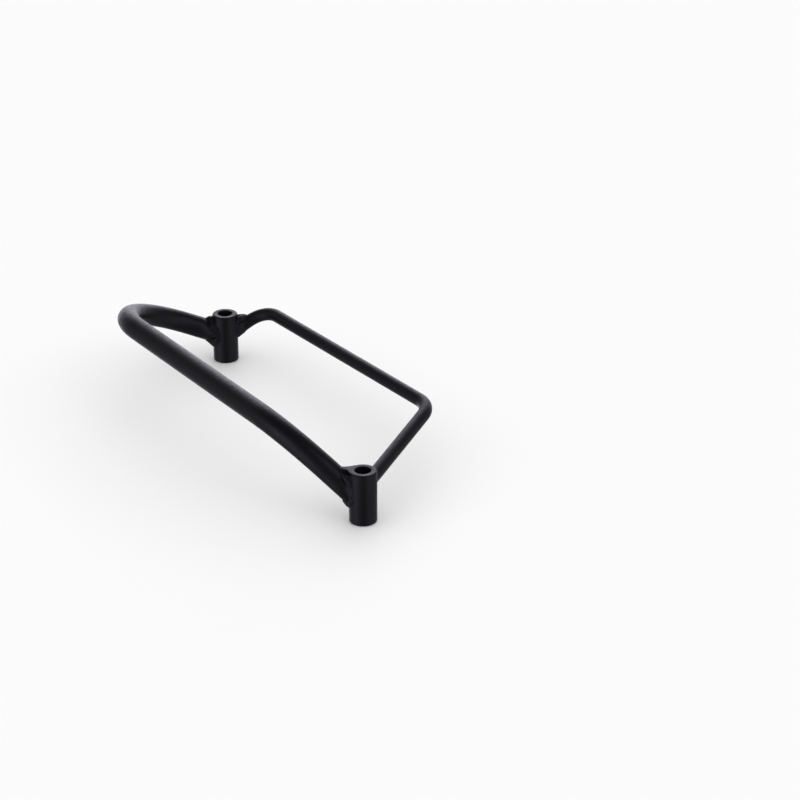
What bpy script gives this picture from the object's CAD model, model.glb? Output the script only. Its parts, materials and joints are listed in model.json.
"""Looks of the pannier frame: two bosses, a bent tube and a bent bar, welded together and coated black."""

import json
import math

import bpy
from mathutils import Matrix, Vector


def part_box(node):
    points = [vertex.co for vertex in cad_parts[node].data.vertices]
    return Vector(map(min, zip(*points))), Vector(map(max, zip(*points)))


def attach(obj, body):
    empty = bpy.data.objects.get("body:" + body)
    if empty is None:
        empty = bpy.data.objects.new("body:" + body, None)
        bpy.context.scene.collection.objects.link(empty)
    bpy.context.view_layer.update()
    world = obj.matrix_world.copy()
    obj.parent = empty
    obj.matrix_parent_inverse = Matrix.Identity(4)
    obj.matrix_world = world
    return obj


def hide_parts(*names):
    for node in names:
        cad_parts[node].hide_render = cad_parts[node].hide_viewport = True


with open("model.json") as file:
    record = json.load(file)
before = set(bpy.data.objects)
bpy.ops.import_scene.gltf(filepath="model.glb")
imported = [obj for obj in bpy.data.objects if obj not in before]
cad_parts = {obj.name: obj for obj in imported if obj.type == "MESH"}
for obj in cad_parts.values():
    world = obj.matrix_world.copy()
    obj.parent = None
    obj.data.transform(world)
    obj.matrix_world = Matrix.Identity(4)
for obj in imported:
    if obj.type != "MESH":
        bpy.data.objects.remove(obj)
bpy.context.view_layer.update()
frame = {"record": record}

# Bosses. Two spacers parted off from steel bar, bored through for the mounting screws, with both rims
# broken. The frame is powder coated once it is welded, so every piece wears the same thin satin skin,
# which softens the edges and has a fine orange peel.
MM = 0.001
mounts = {mount["name"]: mount["dims"] for mount in frame["record"]["mounts"]}
front_x = mounts["mounting_pair"]["spacing_x_mm"] / 2
rear_x = -front_x
boss_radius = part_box("front_boss")[1].x - front_x * MM
boss_length = mounts["front_bore"]["length_mm"] * MM
bore_radius = mounts["front_bore"]["r_mm"] * MM
rim_break = 0.6 * MM
turning_steps = 128
closing_gap = 0.01 * MM
coat_softness = 0.4 * MM
softening_steps = 3
sharp_rim = math.radians(30)

# The coat: its blacks and gloss, then the clouds, mottle and grain of its film, its dust and its wear
thin_black = (0.0016, 0.0016, 0.0021, 1)
thick_black = (0.0030, 0.0029, 0.0035, 1)
cool_gloss = (0.92, 0.91, 1.0, 1)
resin_ior = 1.5
smoothest = 0.22
film_patch = 45 * MM
film_share = 0.4
film_roughness = 0.08
mottle_patch = 3.2 * MM
mottle_depth = 0.06 * MM
mottle_roughness = 0.28
grain_size = 0.35 * MM
grain_depth = 0.004 * MM
grain_roughness = 0.06
dust_grey = (0.10, 0.098, 0.093, 1)
dust_speck = 0.45 * MM
dust_level = 0.76
dust_contrast = 9.0
dust_cover = 0.25
rubbed_patch = 9 * MM
rubbed_level = 0.60
rubbed_contrast = 5.0
rubbed_polish = 0.05


class Wire:
    """One output of a node. Arithmetic on it adds Math nodes, and node() adds any other kind of node."""

    def __init__(self, tree, socket=None):
        self.tree = tree
        self.socket = socket

    def node(self, kind, settings=None, inputs=None, output=0):
        made = self.tree.nodes.new(kind)
        for name, value in (settings or {}).items():
            if name == "capture_items":
                for item in value:
                    made.capture_items.new(*item)
            else:
                setattr(made, name, value)
        for name, value in (inputs or {}).items():
            if isinstance(value, Wire):
                self.tree.links.new(value.socket, made.inputs[name])
            else:
                made.inputs[name].default_value = value
        return Wire(self.tree, made.outputs[output]) if made.outputs else made

    def out(self, name):
        return Wire(self.tree, self.socket.node.outputs[name])

    def maths(self, operation, *values):
        return self.node("ShaderNodeMath", {"operation": operation}, dict(enumerate((self, *values))))

    def held(self):
        """This value, held between 0 and 1."""
        return self.maths("MAXIMUM", 0.0).maths("MINIMUM", 1.0)

    def between(self, low, high):
        """A colour between two, with this value as the share of the second."""
        return self.node("ShaderNodeMix", {"data_type": "RGBA"}, {"Factor": self, 6: low, 7: high}, output=2)

    def split(self):
        parts = self.node("ShaderNodeSeparateXYZ", None, {0: self})
        return parts.out("X"), parts.out("Y"), parts.out("Z")

    def __add__(self, other):
        return self.maths("ADD", other)

    __radd__ = __add__

    def __mul__(self, other):
        return self.maths("MULTIPLY", other)

    __rmul__ = __mul__

    def __sub__(self, other):
        return self.maths("SUBTRACT", other)

    def __rsub__(self, other):
        return self.node("ShaderNodeMath", {"operation": "SUBTRACT"}, {0: other, 1: self})

    def __truediv__(self, other):
        return self.maths("DIVIDE", other)

    def __rtruediv__(self, other):
        return self.node("ShaderNodeMath", {"operation": "DIVIDE"}, {0: other, 1: self})

    def __mod__(self, other):
        return self.maths("FLOORED_MODULO", other)

    def __gt__(self, other):
        return self.maths("GREATER_THAN", other)


def powder_coat(name, peel_size, peel_depth):
    """Satin black powder coat: a cloudy, mottled film with an orange peel, a fine grain, dust and wear."""
    material = bpy.data.materials.new(name)
    material.use_nodes = True
    tree = material.node_tree
    tree.nodes.clear()
    start = Wire(tree)
    place = start.node("ShaderNodeTexCoord", output="Object")

    def noise(size, detail):
        return start.node("ShaderNodeTexNoise", None, {"Vector": place, "Scale": 1 / size, "Detail": detail})

    film = noise(film_patch, detail=3.0)
    mottle = noise(mottle_patch, detail=2.0)
    peel = noise(peel_size, detail=1.5)
    grain = noise(grain_size, detail=1.0)
    # Only the peaks of these two show: sparse specks of dust, and places rubbed smoother by hands
    dust = ((noise(dust_speck, detail=0.0) - dust_level) * dust_contrast).held()
    rubbed = ((noise(rubbed_patch, detail=6.0) - rubbed_level) * rubbed_contrast).held()

    black = (film * film_share + mottle * (1 - film_share)).between(thin_black, thick_black)
    dusty = (dust * dust_cover).between(black, dust_grey)
    rough = smoothest + film * film_roughness + mottle * mottle_roughness + grain * grain_roughness
    rough = rough - rubbed * rubbed_polish
    height = peel * peel_depth + mottle * mottle_depth + grain * grain_depth
    skin = start.node("ShaderNodeBump", None, {"Height": height, "Strength": 1.0, "Distance": 1.0})
    coat = start.node("ShaderNodeBsdfPrincipled", None, {
        "Base Color": dusty, "Roughness": rough, "IOR": resin_ior, "Specular Tint": cool_gloss,
        "Normal": skin,
    })
    start.node("ShaderNodeOutputMaterial", None, {"Surface": coat})
    return material


def plain_mesh(base):
    """Turns an object's modifiers into a plain mesh and takes them off."""
    bpy.context.view_layer.update()
    made = bpy.data.meshes.new_from_object(base.evaluated_get(bpy.context.evaluated_depsgraph_get()))
    base.modifiers.clear()
    base.data = made
    return base


def fit(piece, node):
    """Puts a finished piece in its node's place on the frame."""
    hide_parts(node)
    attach(piece, "root")


boss_coat = powder_coat("coat_on_turned_steel", peel_size=1.8 * MM, peel_depth=0.08 * MM)
boss_profile = (
    (bore_radius, 0),
    (boss_radius - rim_break, 0),
    (boss_radius, rim_break),
    (boss_radius, boss_length - rim_break),
    (boss_radius - rim_break, boss_length),
    (bore_radius, boss_length),
)
profile_edges = [(corner, (corner + 1) % len(boss_profile)) for corner in range(len(boss_profile))]
for boss_node, boss_x in (("rear_boss", rear_x), ("front_boss", front_x)):
    outline = bpy.data.meshes.new(boss_node)
    outline.from_pydata([(radius, 0, height) for radius, height in boss_profile], profile_edges, [])
    boss = bpy.data.objects.new("coated_" + boss_node, outline)
    bpy.context.scene.collection.objects.link(boss)
    turning = boss.modifiers.new("turning", "SCREW")
    turning.axis = "Z"
    turning.steps = turning.render_steps = turning_steps
    turning.use_merge_vertices = True
    turning.merge_threshold = closing_gap
    turning.use_normal_calculate = True
    softening = boss.modifiers.new("coat build-up", "BEVEL")
    softening.width = coat_softness
    softening.segments = softening_steps
    softening.limit_method = "ANGLE"
    softening.angle_limit = sharp_rim
    plain_mesh(boss)
    for corner in boss.data.vertices:
        corner.co.x += boss_x * MM
    boss.data.shade_smooth()
    boss.data.materials.append(boss_coat)
    fit(boss, boss_node)

# Main tube. Drawn steel tube, bent twice on a mandrel, with both ends coped to sit against the bosses.
# A path of straight runs is rounded at its corners, swept with the tube's outside and given its wall.
tube_radius = 8.0 * MM
tube_wall = 1.5 * MM
tube_path = ((rear_x, 0, 19.5), (-169.0, -101.75, 61.0), (110.25, -41.0, 57.5), (front_x, 0, 13.5))
tube_bends = (0, 53.5, 72.0, 0)
bend_points = 96
run_step = 1.5 * MM
round_points = 72
cope_allowance = 20 * MM
cope_inset = 0.4 * MM


def start_tree(name, sizes):
    """A Geometry Nodes tree with named inputs, and the wires that come from them."""
    tree = bpy.data.node_groups.new(name, "GeometryNodeTree")
    tree.interface.new_socket("Geometry", in_out="INPUT", socket_type="NodeSocketGeometry")
    tree.interface.new_socket("Geometry", in_out="OUTPUT", socket_type="NodeSocketGeometry")
    for label, kind in sizes.items():
        tree.interface.new_socket(label, in_out="INPUT", socket_type="NodeSocket" + kind)
    entry = Wire(tree).node("NodeGroupInput").socket.node
    return Wire(tree), {socket.name: Wire(tree, socket) for socket in entry.outputs if socket.name}


def end_tree(shape, coat):
    """The end of every tree: real geometry with its coat on."""
    real = shape.node("GeometryNodeRealizeInstances", None, {"Geometry": shape})
    coated = shape.node("GeometryNodeSetMaterial", None, {"Geometry": real, "Material": coat})
    shape.node("NodeGroupOutput", None, {"Geometry": coated})


def grow(name, mesh, tree, sizes):
    """Runs a tree on a base mesh with its inputs set."""
    base = bpy.data.objects.new(name, mesh)
    bpy.context.scene.collection.objects.link(base)
    nodes = base.modifiers.new(tree.name, "NODES")
    nodes.node_group = tree
    for item in tree.interface.items_tree:
        if item.item_type == "SOCKET" and item.in_out == "INPUT" and item.name in sizes:
            nodes[item.identifier] = sizes[item.name]
    return base


start, size = start_tree("bent_stock", {
    "Stock radius": "Float", "Boss radius": "Float", "Half spacing": "Float", "Cope allowance": "Float",
    "Closed ends": "Bool", "Coat": "Material",
})
bend_radius = start.node("GeometryNodeInputNamedAttribute", {"data_type": "FLOAT"}, {"Name": "bend"})
run = start.node("GeometryNodeMeshToCurve", None, {"Mesh": size["Geometry"]})
run = start.node("GeometryNodeFilletCurve", {"mode": "POLY"}, {
    "Curve": run, "Count": bend_points, "Radius": bend_radius})
length = start.node("GeometryNodeCurveLength", None, {"Curve": run})
run = start.node("GeometryNodeTrimCurve", {"mode": "LENGTH"}, {
    "Curve": run, 4: size["Cope allowance"], 5: length - size["Cope allowance"]})
run = start.node("GeometryNodeResampleCurve", {"mode": "LENGTH"}, {"Curve": run, "Length": run_step})
run = start.node("GeometryNodeCaptureAttribute", {
    "capture_items": (("VECTOR", "Along"), ("FLOAT", "Share"), ("BOOLEAN", "End")),
}, {
    0: run,
    "Along": start.node("GeometryNodeInputTangent"),
    "Share": start.node("GeometryNodeSplineParameter"),
    "End": start.node("GeometryNodeCurveEndpointSelection"),
})
along, share, end = (run.out(label) for label in ("Along", "Share", "End"))
section = start.node("GeometryNodeCurvePrimitiveCircle", None, {
    "Resolution": round_points, "Radius": size["Stock radius"]})
stock = start.node("GeometryNodeCurveToMesh", None, {
    "Curve": run, "Profile Curve": section, "Fill Caps": size["Closed ends"]})
# The cope: each end point slides along the stock until it lies just inside the boss's wall
point_x, point_y = start.node("GeometryNodeInputPosition").split()[:2]
along_x, along_y, along_z = along.split()
boss_to_x = point_x - size["Half spacing"] * (2 * share - 1)
outward = 1 - 2 * share
run_in = (boss_to_x * along_x + point_y * along_y) * outward
flat = along_x * along_x + along_y * along_y
wall = size["Boss radius"] - cope_inset
gap = boss_to_x * boss_to_x + point_y * point_y - wall * wall
slide = (run_in * run_in - flat * gap).maths("SQRT") - run_in
slide = slide / flat * outward
cope = start.node("ShaderNodeCombineXYZ", None, {
    "X": along_x * slide, "Y": along_y * slide, "Z": along_z * slide})
stock = start.node("GeometryNodeSetPosition", None, {"Geometry": stock, "Selection": end, "Offset": cope})
stock = start.node("GeometryNodeSetShadeSmooth", None, {"Geometry": stock})
end_tree(stock, size["Coat"])
bent_stock = start.tree

stock_coat = powder_coat("coat_on_drawn_steel", peel_size=1.8 * MM, peel_depth=0.13 * MM)


def bend(name, path, bends, radius, closed):
    """A length of round stock bent along a path in millimetres, coped to the bosses."""
    corners = bpy.data.meshes.new(name)
    corners.from_pydata([Vector(corner) * MM for corner in path], [(0, 1), (1, 2), (2, 3)], [])
    bend_sizes = corners.attributes.new("bend", "FLOAT", "POINT")
    bend_sizes.data.foreach_set("value", [bend_size * MM for bend_size in bends])
    return grow(name, corners, bent_stock, {
        "Stock radius": radius, "Boss radius": boss_radius, "Half spacing": front_x * MM,
        "Cope allowance": cope_allowance, "Closed ends": closed, "Coat": stock_coat,
    })


main_tube = bend("coated_main_tube", tube_path, tube_bends, tube_radius, closed=False)
tube_skin = main_tube.modifiers.new("wall", "SOLIDIFY")
tube_skin.thickness = tube_wall
tube_skin.offset = -1
plain_mesh(main_tube)
fit(main_tube, "main_tube")

# Support rod. Solid round bar on the other side of the bow, bent cold around two small dies.
# It is swept in the same way as the tube, with closed ends.
rod_radius = 4.75 * MM
rod_path = ((rear_x, 0, 17.25), (-136.25, 30.5, 37.75), (64.75, 81.0, 35.75), (front_x, 0, 23.5))
rod_bends = (0, 22.5, 22.5, 0)
support_rod = plain_mesh(bend("coated_support_rod", rod_path, rod_bends, rod_radius, closed=True))
fit(support_rod, "support_rod")

# Welds. One bead of steel runs around each end of the tube and the rod. It is laid by hand in short
# ripples from boss to stock, dressed flat where it meets the boss's rim, and filled over by the coat.
ring_steps = 240  # around the stock
face_steps = 32  # across the bead, from its toe on the boss to its toe on the stock
rows = face_steps + 4  # an anchor in the boss, the face's points, an anchor in the stock, and the root
anchor_depth = 1.0 * MM
toe_sink = 0.05 * MM
toe_wander = 0.7
toe_waves = 3.0
corner_reach = 0.4  # how strongly a sharp corner lengthens the legs
crown_rise = 3.0  # how close to the top of the stock the crown changes
crater_sharpness = 45
restart_sharpness = 20
restart_lag = 0.34  # radians past the crater
lump_size = 3.2 * MM
ripple_bow = 1.6
rim_softness = 0.5 * MM
seam_gap = 0.002 * MM
crease_angle = 0.9  # radians

weld_sizes = (
    "Boss radius", "Stock radius", "Pitch", "Heading", "Rim", "Boss leg above", "Boss leg below",
    "Stock leg above", "Stock leg below", "Crown above", "Crown below", "Ripples", "Ripple height",
    "Lump height", "Stop", "Crater", "Restart", "Seed",
)
start, size = start_tree("weld_bead", {
    **dict.fromkeys(weld_sizes, "Float"), "Meeting point": "Vector", "Coat": "Material"})
grid = start.node("GeometryNodeMeshGrid", None, {
    "Size X": 1.0, "Size Y": 1.0, "Vertices X": ring_steps + 1, "Vertices Y": rows + 1})
grid_x, grid_y = start.node("GeometryNodeInputPosition").split()[:2]
turn = (grid_x + 0.5) * (2 * math.pi)
row = ((grid_y + 0.5) * rows).maths("ROUND") % rows
step = ((row - 1) / face_steps).held()
at_boss = 1 - (row > 0.5)
at_root = row > rows - 1.5
at_stock = (row > rows - 2.5) - at_root
cos_turn, sin_turn = turn.maths("COSINE"), turn.maths("SINE")
above = cos_turn * 0.5 + 0.5
cos_pitch, sin_pitch = size["Pitch"].maths("COSINE"), size["Pitch"].maths("SINE")
around_boss, around_stock = size["Boss radius"], size["Stock radius"]
# The seam where stock and boss meet, with the stock leaving the boss along +X
seam_y = around_stock * sin_turn
seam_x = (around_boss * around_boss - seam_y * seam_y).maths("SQRT")
travel = (seam_x + around_stock * cos_turn * sin_pitch) / cos_pitch
seam = (seam_x, seam_y, around_stock * cos_turn * cos_pitch + travel * sin_pitch)
stock_out = (0 - cos_turn * sin_pitch, sin_turn, cos_turn * cos_pitch)
boss_out = (seam_x / around_boss, seam_y / around_boss, 0)
lean = stock_out[0] * boss_out[0] + stock_out[1] * boss_out[1]
spread = (1 - lean * lean).maths("SQRT")
boss_way = [(stock_side - lean * boss_side) / spread for stock_side, boss_side in zip(stock_out, boss_out)]
stock_way = (cos_pitch, 0, sin_pitch)
sum_length = (2 + 2 * lean).maths("SQRT")
face_out = [(stock_side + boss_side) / sum_length for stock_side, boss_side in zip(stock_out, boss_out)]
# The bead's legs on boss and stock, longest where the two meet at a sharp angle
opening = ((1 - lean) / (1 + lean)).maths("POWER", corner_reach)
steepest = ((1 + sin_pitch) / (1 - sin_pitch)).maths("POWER", corner_reach)


def leg(metal, seed_step):
    """How far the bead reaches onto the boss or the stock, with an edge that wanders."""
    lowest = size[metal + " leg below"] * steepest
    highest = size[metal + " leg above"] / steepest
    wander = start.node("ShaderNodeTexNoise", {"noise_dimensions": "4D"}, {
        "Vector": start.node("ShaderNodeCombineXYZ", None, {"X": cos_turn, "Y": sin_turn}),
        "W": size["Seed"] + seed_step, "Scale": toe_waves, "Detail": 2.0})
    return (lowest + (highest - lowest) * above) * opening * (1 - toe_wander / 2 + wander * toe_wander)


boss_leg = leg("Boss", seed_step=0.5)
stock_leg = leg("Stock", seed_step=0.7)
toe_x, toe_y, toe_z = (point + way * boss_leg for point, way in zip(seam, boss_way))
onto_boss = (around_boss - toe_sink) / (toe_x * toe_x + toe_y * toe_y).maths("SQRT")
boss_toe = (toe_x * onto_boss, toe_y * onto_boss, toe_z)
stock_toe = [point + way * stock_leg - out * toe_sink for point, way, out in zip(seam, stock_way, stock_out)]
# The crown. Where the bead was stopped it leaves a crater, and beside that a full restart
from_stop = turn - size["Stop"]
crater = ((from_stop.maths("COSINE") - 1) * crater_sharpness).maths("EXPONENT")
restart = (((from_stop - restart_lag).maths("COSINE") - 1) * restart_sharpness).maths("EXPONENT")
crown = (size["Crown above"] - size["Crown below"]) * above.maths("POWER", crown_rise)
crown = size["Crown below"] + crown + restart * size["Restart"] - crater * size["Crater"]
rest = 1 - step
arch = step * rest * 4
bead = [
    rest * on_boss + step * on_stock + arch * crown * out
    for on_boss, on_stock, out in zip(boss_toe, stock_toe, face_out)
]
# The ripples, bowed as the pool set them, and the lumps
lump = start.node("ShaderNodeTexNoise", {"noise_dimensions": "4D"}, {
    "Vector": start.node("ShaderNodeCombineXYZ", None, dict(enumerate(bead))), "W": size["Seed"],
    "Scale": 1 / lump_size, "Detail": 1.0})
crescent = (step - 0.5) * (step - 0.5) * ripple_bow
ripple_count = turn * (1 / (2 * math.pi)) * size["Ripples"] + crescent
ripple = (ripple_count * math.pi).maths("SINE").maths("ABSOLUTE")
raised = arch * (ripple * size["Ripple height"] + (lump - 0.5) * 2 * size["Lump height"])
# The closed bead: its face, the anchors inside boss and stock, and its root, all dressed off at the rim
surface = []
for root, face, out, boss_side, stock_side in zip(seam, bead, face_out, boss_out, stock_out):
    skin = face + out * raised - at_boss * boss_side * anchor_depth - at_stock * stock_side * anchor_depth
    surface.append(skin + at_root * (root - out * anchor_depth - skin))
surface[2] = surface[2].maths("SMOOTH_MIN", size["Rim"], rim_softness)
shape = start.node("GeometryNodeSetPosition", None, {
    "Geometry": grid, "Position": start.node("ShaderNodeCombineXYZ", None, dict(enumerate(surface)))})
shape = start.node("GeometryNodeMergeByDistance", None, {"Geometry": shape, "Distance": seam_gap})
shape = start.node("GeometryNodeFlipFaces", None, {"Mesh": shape})
shape = start.node("GeometryNodeTransform", None, {
    "Geometry": shape, "Translation": size["Meeting point"],
    "Rotation": start.node("ShaderNodeCombineXYZ", None, {"Z": size["Heading"]})})
crease = start.node("GeometryNodeInputMeshEdgeAngle") > crease_angle
shape = start.node("GeometryNodeSetShadeSmooth", None, {"Geometry": shape})
shape = start.node("GeometryNodeSetShadeSmooth", {"domain": "EDGE"}, {
    "Geometry": shape, "Selection": crease, "Shade Smooth": False})
end_tree(shape, size["Coat"])
weld_bead = start.tree

weld_coat = powder_coat("coat_over_weld", peel_size=1.6 * MM, peel_depth=0.08 * MM)


def weld(node, near, far, radius, boss_legs, stock_legs, crowns, ripples, heights, stop, seed):
    """One bead around stock that leaves a boss at near and heads for far, in millimetres.

    Legs and crowns are given above and below the stock, and heights for ripples and lumps. A stop is its
    place around the stock in degrees, its crater's depth and its restart's height.
    """
    way = Vector(far) - Vector(near)
    bead = grow("coated_" + node, bpy.data.meshes.new(node), weld_bead, {
        "Boss radius": boss_radius, "Stock radius": radius,
        "Pitch": math.atan2(way.z, math.hypot(way.x, way.y)), "Heading": math.atan2(way.y, way.x),
        "Meeting point": [distance * MM for distance in near],
        "Rim": boss_length - near[2] * MM - toe_sink,
        "Boss leg above": boss_legs[0] * MM, "Boss leg below": boss_legs[1] * MM,
        "Stock leg above": stock_legs[0] * MM, "Stock leg below": stock_legs[1] * MM,
        "Crown above": crowns[0] * MM, "Crown below": crowns[1] * MM,
        "Ripples": float(ripples), "Ripple height": heights[0] * MM, "Lump height": heights[1] * MM,
        "Stop": math.radians(stop[0]), "Crater": stop[1] * MM, "Restart": stop[2] * MM,
        "Seed": float(seed), "Coat": weld_coat,
    })
    fit(plain_mesh(bead), node)


weld(
    "rear_tube_weld", tube_path[0], tube_path[1], tube_radius, boss_legs=(3.5, 4.8), stock_legs=(5.5, 8.3),
    crowns=(0.3, -0.25), ripples=26, heights=(0.20, 0.45), stop=(22, 2.2, 0.6), seed=3,
)
weld(
    "front_tube_weld", tube_path[3], tube_path[2], tube_radius, boss_legs=(9.0, 1.6), stock_legs=(10.0, 6.5),
    crowns=(-1.6, 0.7), ripples=28, heights=(0.20, 0.60), stop=(19, 3.8, 2.4), seed=8,
)
weld(
    "rear_rod_weld", rod_path[0], rod_path[1], rod_radius, boss_legs=(5.5, 0.8), stock_legs=(9.5, 8.3),
    crowns=(0.3, 0.25), ripples=18, heights=(0.18, 0.40), stop=(-38, 1.2, 0.4), seed=5,
)
weld(
    "front_rod_weld", rod_path[3], rod_path[2], rod_radius, boss_legs=(4.5, 4.5), stock_legs=(5.0, 5.0),
    crowns=(-0.6, -0.2), ripples=18, heights=(0.18, 0.40), stop=(70, 0.6, 0.3), seed=11,
)

# Studio. A plain pale floor under one wide, soft light from above. The coat mirrors the room alone, so
# floor and light stay out of it: a bright wall stands behind the frame, with a panel and a lamp to either
# side of the camera.
floor_size = 9
floor_centre = (-1, 0.5, -0.2 * MM)
floor_white = (0.885, 0.88, 0.865, 1)
floor_roughness = 0.9
bpy.ops.mesh.primitive_plane_add(size=floor_size, location=floor_centre)
floor = bpy.context.object
floor.name = "studio_floor"
floor.visible_glossy = False
paint = bpy.data.materials.new("pale_floor")
paint.use_nodes = True
paint.node_tree.nodes["Principled BSDF"].inputs["Base Color"].default_value = floor_white
paint.node_tree.nodes["Principled BSDF"].inputs["Roughness"].default_value = floor_roughness
floor.data.materials.append(paint)

ceiling = bpy.data.lights.new("ceiling", "SUN")
ceiling.angle = math.radians(130)
ceiling.energy = 2.75
lamp = bpy.data.objects.new("ceiling", ceiling)
lamp.visible_glossy = False
bpy.context.scene.collection.objects.link(lamp)

world = bpy.data.worlds.new("room")
bpy.context.scene.world = world
world.use_nodes = True
world.node_tree.nodes.clear()
room = Wire(world.node_tree)
facing = room.node("ShaderNodeTexCoord", output="Generated")
room_tint = (0.97, 0.95, 1.05, 1)
backdrop_white = (1, 1, 1, 1)
backdrop_strength = 0.94
glow = 0.015
# What shines in the room: heading and height in degrees, sharpness and brightness
for heading, height, sharpness, brightness in (
    (155, 24, 16, 1.80),  # the wall behind, and its foot
    (147, -2, 12, 0.95),
    (163, -24, 9, 1.1),  # the lit floor in front of that wall
    (177, -12, 16, 1.3),
    (28, -4, 9, 0.55),  # the panel on the camera's right, and the lamp above it
    (30, 41, 40, 1.2),
    (-74, -10, 8, 0.62),  # the panel on the camera's left, the lamp above it and the lit floor below it
    (-87, 11, 40, 0.95),
    (-93, -45, 12, 0.25),
    (-130, 5, 4, 0.17),  # the pale walls to the left and to the right
    (85, -8, 4, 0.22),
    (58, -70, 5, 0.20),  # the floor right below
    (-22, 35, 3, 0.05),  # the dim room behind the camera
):
    heading, height = math.radians(heading), math.radians(height)
    towards = (math.cos(height) * math.cos(heading), math.cos(height) * math.sin(heading), math.sin(height))
    aligned = room.node("ShaderNodeVectorMath", {"operation": "DOT_PRODUCT"}, {
        0: facing, 1: towards}, output="Value")
    glow = ((aligned - 1) * sharpness).maths("EXPONENT") * brightness + glow
mirrored = room.node("ShaderNodeBackground", None, {"Color": room_tint, "Strength": glow})
backdrop = room.node("ShaderNodeBackground", None, {"Color": backdrop_white, "Strength": backdrop_strength})
seen = room.node("ShaderNodeLightPath", output="Is Camera Ray")
room.node("ShaderNodeOutputWorld", None, {
    "Surface": room.node("ShaderNodeMixShader", None, {0: seen, 1: mirrored, 2: backdrop})})
bpy.context.scene.view_settings.view_transform = "Standard"

# The camera looks down on the frame from the photograph's place
camera_place = Vector((1.51284, -0.53690, 0.78252))
camera_target = Vector((-0.02266, 0.09407, 0))
lens = bpy.data.cameras.new("camera")
lens.sensor_width = 36
lens.lens = 112.42
lens.clip_end = 50
camera = bpy.data.objects.new("camera", lens)
camera.location = camera_place
camera.rotation_euler = (camera_target - camera_place).to_track_quat("-Z", "Y").to_euler()
bpy.context.scene.collection.objects.link(camera)
bpy.context.scene.camera = camera
